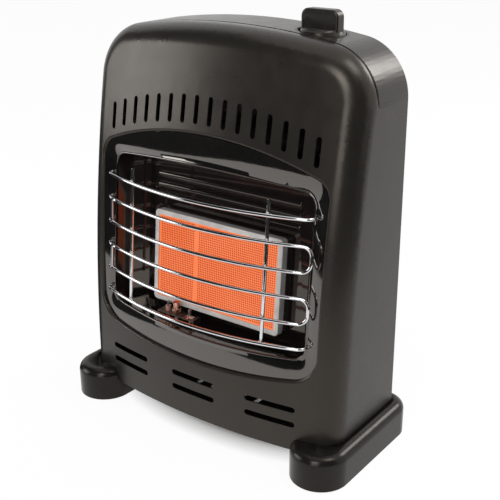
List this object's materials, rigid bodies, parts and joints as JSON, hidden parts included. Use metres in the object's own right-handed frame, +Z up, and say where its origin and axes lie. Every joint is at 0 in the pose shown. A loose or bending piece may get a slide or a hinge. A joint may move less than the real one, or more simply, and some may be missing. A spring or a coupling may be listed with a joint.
{
  "type": "portable propane heater",
  "caption": "Tabletop radiant gas heater: pillow-shaped steel casing on two feet, ceramic plaque burner behind a chrome wire guard, push-and-turn control knob on top.",
  "frame": {"origin": "on the ground, in the middle of the footprint of the two feet", "axes": "+Z up; -Y is the front, towards which the burner radiates; +X is to the right seen from the front"},
  "size_m": [0.2936, 0.135, 0.3635],
  "materials": {
    "casing_enamel": "satin black enamel",
    "bezel_enamel": "high-gloss black vitreous enamel",
    "firebox_enamel": "high-gloss black enamel, reflective",
    "aluminised_steel": "dull aluminised sheet",
    "frame_steel": "heat-greyed stainless",
    "hot_ceramic": "perforated radiant ceramic at working heat",
    "gasket_fibre": "ceramic fibre",
    "brass_fitting": "machined brass",
    "die_cast": "bead-blasted die casting",
    "pipe_metal": "drawn tube",
    "copper_lead": "drawn copper",
    "insulator_glaze": "white glaze",
    "electrode_steel": "heat-stained steel",
    "lead_sleeve": "silicone sleeve",
    "igniter_plastic": "moulded black",
    "zinc_steel": "bright zinc",
    "knob_plastic": "satin black moulding",
    "guard_chrome": "bright chrome wire",
    "foot_plastic": "gloss black moulding",
    "pad_rubber": "matt rubber"
  },
  "bodies": {
    "casing": {"front_panel": "casing_enamel", "casing_wrap": "casing_enamel", "back_panel": "casing_enamel", "knob_well": "casing_enamel", "back_panel_screws": "zinc_steel", "foot_screws": "zinc_steel", "base_pan": "aluminised_steel", "left_foot": "foot_plastic", "right_foot": "foot_plastic", "foot_pads": "pad_rubber", "window_bezel": "bezel_enamel", "firebox_top": "firebox_enamel", "firebox_floor": "firebox_enamel", "firebox_left_side": "firebox_enamel", "firebox_right_side": "firebox_enamel", "firebox_back": "firebox_enamel", "burner_body": "aluminised_steel", "burner_gasket": "gasket_fibre", "ceramic_tile_large": "hot_ceramic", "ceramic_tile_small": "hot_ceramic", "burner_frame": "frame_steel", "mixing_tube": "aluminised_steel", "air_collar": "aluminised_steel", "main_injector": "brass_fitting", "injector_holder": "brass_fitting", "injector_bracket": "aluminised_steel", "burner_pipe": "pipe_metal", "gas_inlet_fitting": "brass_fitting", "inlet_nut": "brass_fitting", "regulator": "die_cast", "supply_pipe": "pipe_metal", "gas_valve": "die_cast", "valve_bracket": "aluminised_steel", "piezo_igniter": "igniter_plastic", "igniter_lead": "lead_sleeve", "electrode_insulator": "insulator_glaze", "electrode_rod": "electrode_steel", "pilot_bracket": "electrode_steel", "pilot_burner": "brass_fitting", "pilot_pipe": "pipe_metal", "thermocouple_tip": "electrode_steel", "thermocouple_lead": "copper_lead", "tip_over_switch": "zinc_steel", "switch_lead": "lead_sleeve", "top_heat_shield": "aluminised_steel", "rear_heat_shield": "aluminised_steel", "guard_low_wire": "guard_chrome", "guard_high_wire": "guard_chrome", "guard_low_loop": "guard_chrome", "guard_high_loop": "guard_chrome", "guard_rods": "guard_chrome"},
    "spindle_carriage": {"spindle_carriage": "zinc_steel"},
    "knob": {"control_knob": "knob_plastic", "valve_spindle": "brass_fitting", "spindle_clip": "zinc_steel"}
  },
  "joints": [
    {"name": "knob_press", "type": "slide", "parent": "casing", "child": "spindle_carriage", "axis": [0, 0, -1], "range_m": [0, 0.004], "stiffness_N_per_m": 1000, "springref_m": -0.004},
    {"name": "knob_turn", "type": "hinge", "parent": "spindle_carriage", "child": "knob", "pos_m": [0.071, 0.0264, 0.34], "axis": [0, 0, 1], "range_deg": [0, 180]}
  ]
}
